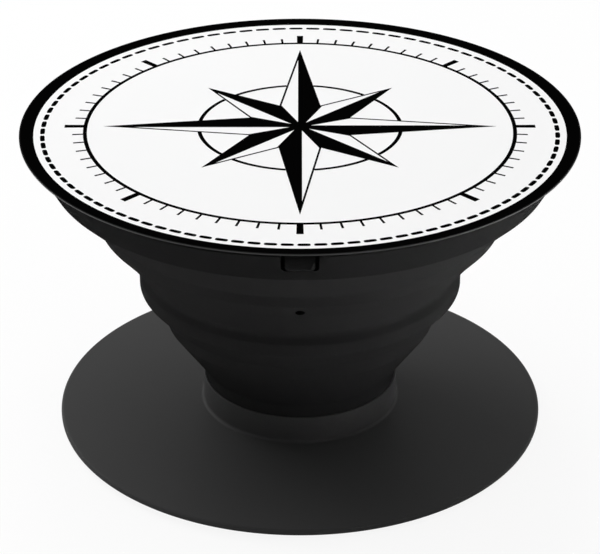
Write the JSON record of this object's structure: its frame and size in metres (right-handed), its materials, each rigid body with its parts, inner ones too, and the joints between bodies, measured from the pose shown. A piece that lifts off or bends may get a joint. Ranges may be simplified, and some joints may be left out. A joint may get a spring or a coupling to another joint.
{
  "type": "collapsible phone grip",
  "caption": "Round collapsible grip for a phone's back: a saucer base with an adhesive pad, a stepped folding bellows, and a flat printed disc that is held between two fingers.",
  "frame": {"origin": "centre of the adhesive face, at the bottom of the part", "axes": "+Z along the axis of the grip, from the adhesive pad up to the printed disc; the vent and one snap lug face -Y"},
  "size_m": [0.04, 0.04, 0.0236],
  "materials": {
    "base_black": "satin moulded black plastic with a fine even grain",
    "adhesive_gel": "smooth tacky dark grey gel",
    "bellows_black": "matte black moulded elastomer with a fine grain",
    "disc_black": "satin moulded black plastic",
    "print_white": "white printed film",
    "print_ink": "black ink on the film"
  },
  "bodies": {
    "base_side": {"base": "base_black", "adhesive_pad": "adhesive_gel", "bellows": "bellows_black"},
    "disc_side": {"disc": "disc_black", "printed_face": "print_white"}
  },
  "joints": [
    {"name": "collapse", "type": "slide", "parent": "base_side", "child": "disc_side", "axis": [0, 0, 1], "range_m": [-0.0165, 0], "deforming": ["bellows"]}
  ]
}
